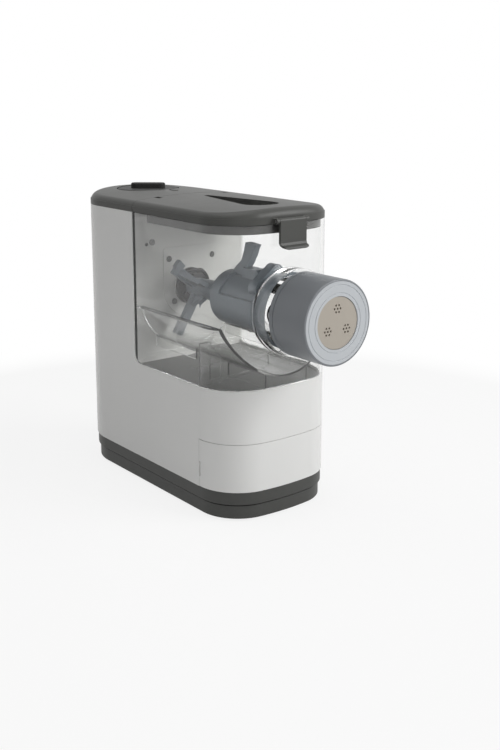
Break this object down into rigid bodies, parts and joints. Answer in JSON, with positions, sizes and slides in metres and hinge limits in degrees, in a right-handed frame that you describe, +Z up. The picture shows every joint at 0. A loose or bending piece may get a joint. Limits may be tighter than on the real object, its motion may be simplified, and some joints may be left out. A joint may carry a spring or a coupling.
{
  "type": "electric pasta maker",
  "caption": "Countertop machine with a clear mixing chamber, rotating paddle, extrusion nozzle with round cap, hinged lid with latch, selector knob and storage drawer.",
  "frame": {"origin": "centre of the whole footprint, nozzle included, on the surface it stands on", "axes": "+Z up, -Y front where the nozzle and drawer are, +X to the right seen from the front"},
  "size_m": [0.135, 0.343, 0.2926],
  "materials": {
    "shell_white": "gloss moulded white",
    "lid_grey": "fine satin dark grey",
    "base_grey": "satin dark grey",
    "pale_grey": "satin pale grey",
    "clear_tub": "clear moulded plastic",
    "paddle_grey": "satin blue grey",
    "cap_grey": "satin blue grey",
    "ring_grey": "satin light grey",
    "disc_beige": "satin beige grey",
    "black_plastic": "fine matte black",
    "rubber": "matte rubber",
    "seal_rubber": "soft satin seal",
    "steel": "turned steel",
    "stack_steel": "laminated steel",
    "gear_nylon": "satin natural nylon",
    "frame_alloy": "die cast",
    "board_green": "coated board",
    "screw_steel": "plated"
  },
  "bodies": {
    "housing": {"base_tray": "base_grey", "rubber_feet": "rubber", "base_screws": "screw_steel", "main_shell": "shell_white", "tub_shell": "shell_white", "chamber_deck": "base_grey", "cord_gland": "black_plastic", "bulkhead": "pale_grey", "bulkhead_panel": "pale_grey", "panel_screws": "base_grey", "bulkhead_sensors": "base_grey", "socket_ring": "black_plastic", "mixing_chamber": "clear_tub", "chamber_trough": "clear_tub", "trough_ribs": "clear_tub", "extrusion_tube": "paddle_grey", "tube_seal": "seal_rubber", "gear_pin": "steel", "gearbox_front": "black_plastic", "gearbox_rear": "black_plastic", "gearbox_screws": "screw_steel", "shaft_bearings": "steel", "motor_frame_front": "frame_alloy", "motor_frame_rear": "frame_alloy", "motor_stator": "stack_steel", "motor_bolts": "screw_steel", "motor_bearings": "steel", "rear_cover": "lid_grey", "hinge_pins": "steel", "mode_switch": "black_plastic", "control_board": "board_green", "board_screws": "screw_steel", "board_components": "black_plastic", "lid_switch": "black_plastic", "cover_mark": "lid_grey", "drawer_bay": "pale_grey"},
    "paddle_drive": {"mixing_paddle": "paddle_grey", "extruder_screw": "paddle_grey", "drive_socket": "black_plastic", "output_shaft": "steel", "output_gear": "gear_nylon"},
    "compound_gear": {"compound_gear": "gear_nylon"},
    "motor_rotor": {"motor_rotor": "stack_steel", "motor_shaft": "steel", "motor_pinion": "steel", "cooling_fan": "black_plastic"},
    "control_knob": {"knob_skirt": "lid_grey", "knob_grip": "lid_grey"},
    "lid": {"lid_shell": "lid_grey", "lid_seal": "seal_rubber", "latch_pin": "steel"},
    "latch": {"latch_clip": "lid_grey"},
    "drawer": {"drawer_front": "shell_white", "drawer_tray": "pale_grey"},
    "nozzle_cap": {"nozzle_cap": "cap_grey", "cap_face_ring": "ring_grey", "shaping_disc": "disc_beige"}
  },
  "joints": [
    {"name": "paddle_spin", "type": "hinge", "parent": "housing", "child": "paddle_drive", "pos_m": [0, 0, 0.1942], "axis": [0, 1, 0], "continuous": true},
    {"name": "compound_spin", "type": "hinge", "parent": "housing", "child": "compound_gear", "pos_m": [0, 0.0707, 0.1522], "axis": [0, 1, 0], "continuous": true},
    {"name": "motor_spin", "type": "hinge", "parent": "housing", "child": "motor_rotor", "pos_m": [0, 0.0907, 0.1147], "axis": [0, 1, 0], "continuous": true},
    {"name": "knob_turn", "type": "hinge", "parent": "housing", "child": "control_knob", "pos_m": [0, 0.1251, 0.286], "axis": [0, 0, 1], "range_deg": [-45, 45]},
    {"name": "lid_hinge", "type": "hinge", "parent": "housing", "child": "lid", "pos_m": [0, 0.0422, 0.2815], "axis": [-1, 0, 0], "range_deg": [0, 75]},
    {"name": "latch_hinge", "type": "hinge", "parent": "lid", "child": "latch", "pos_m": [0, -0.1096, 0.2765], "axis": [-1, 0, 0], "range_deg": [0, 80]},
    {"name": "drawer_slide", "type": "slide", "parent": "housing", "child": "drawer", "axis": [0, -1, 0], "range_m": [0, 0.09]},
    {"name": "cap_turn", "type": "hinge", "parent": "housing", "child": "nozzle_cap", "pos_m": [0, -0.149, 0.1942], "axis": [0, 1, 0], "range_deg": [0, 60]}
  ],
  "couplings": [
    {"joint": "compound_spin", "follows": "paddle_spin", "ratio": -3},
    {"joint": "motor_spin", "follows": "paddle_spin", "ratio": 12}
  ]
}
